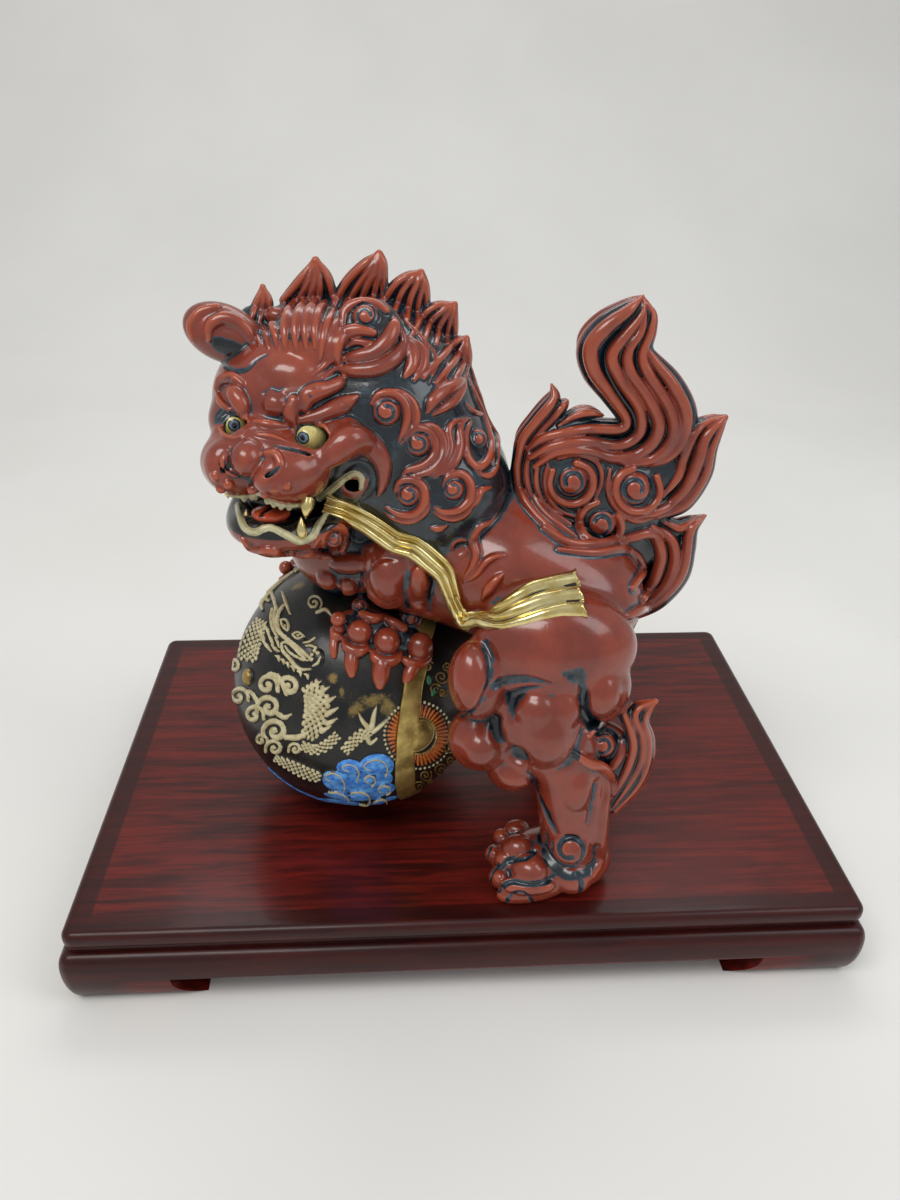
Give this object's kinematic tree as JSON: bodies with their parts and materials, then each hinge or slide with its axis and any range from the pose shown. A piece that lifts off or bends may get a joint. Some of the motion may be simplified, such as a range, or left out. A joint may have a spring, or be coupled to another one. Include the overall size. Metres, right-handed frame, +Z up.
{
  "type": "ceramic lion figurine",
  "caption": "Glazed ceramic guardian lion with one paw on a decorated ball, a gilt ribbon in its mouth, lifted off a lacquered wooden display stand.",
  "frame": {"origin": "centre of the stand's footprint, on the surface it stands on", "axes": "+X along the stand's long side towards the lion's tail, +Y to the back, away from the viewer, +Z up"},
  "size_m": [0.489, 0.329, 0.411],
  "materials": {
    "red_glaze": "glossy brick-red glaze, black in the recesses",
    "black_glaze": "glossy blue-black glaze under coloured relief",
    "gilding": "bright gilding over glaze",
    "eye_glaze": "glossy yellow enamel with a dark pupil",
    "tongue_glaze": "glossy orange-red glaze",
    "lacquer": "glossy dark red-brown lacquer over straight grain",
    "raw_wood": "plain unfinished wood under the board"
  },
  "bodies": {
    "stand": {"stand_board": "lacquer", "stand_rail_front": "lacquer", "stand_rail_right": "lacquer", "stand_rail_back": "lacquer", "stand_rail_left": "lacquer", "glue_block_front_left": "raw_wood", "glue_block_front_right": "raw_wood", "glue_block_back_left": "raw_wood", "glue_block_back_right": "raw_wood", "board_batten_left": "raw_wood", "board_batten_right": "raw_wood"},
    "figurine": {"head_casting": "red_glaze", "lower_jaw": "red_glaze", "nose": "red_glaze", "brow_left": "red_glaze", "brow_right": "red_glaze", "ear_left": "red_glaze", "ear_right": "red_glaze", "body_casting": "red_glaze", "hind_leg_left": "red_glaze", "hind_paw_left": "red_glaze", "hind_tuft_left": "red_glaze", "hind_leg_right": "red_glaze", "hind_paw_right": "red_glaze", "hind_tuft_right": "red_glaze", "fore_leg_left": "red_glaze", "fore_paw_left": "red_glaze", "fore_leg_right": "red_glaze", "fore_paw_right": "red_glaze", "tail_casting": "red_glaze", "tail_curl_left": "red_glaze", "tail_curl_right": "red_glaze", "tail_curl_lower": "red_glaze", "crest_lock_1": "red_glaze", "crest_lock_2": "red_glaze", "crest_lock_3": "red_glaze", "crest_lock_4": "red_glaze", "crest_lock_5": "red_glaze", "crest_lock_6": "red_glaze", "mane_curl_left_1": "red_glaze", "mane_curl_left_2": "red_glaze", "mane_curl_left_3": "red_glaze", "mane_curl_left_4": "red_glaze", "mane_curl_left_5": "red_glaze", "mane_curl_right_1": "red_glaze", "mane_curl_right_2": "red_glaze", "ball_shell": "black_glaze", "mane_casting": "black_glaze", "ball_gilt_band": "gilding", "ball_medallion": "gilding", "fang_upper_left": "gilding", "fang_lower_left": "gilding", "fang_upper_right": "gilding", "fang_lower_right": "gilding", "ribbon_upper": "gilding", "ribbon_lower": "gilding", "eye_left": "eye_glaze", "eye_right": "eye_glaze", "tongue": "tongue_glaze"}
  },
  "joints": [
    {"name": "figurine_lift", "type": "slide", "parent": "stand", "child": "figurine", "axis": [0, 0, 1], "range_m": [0, 0.12]}
  ]
}
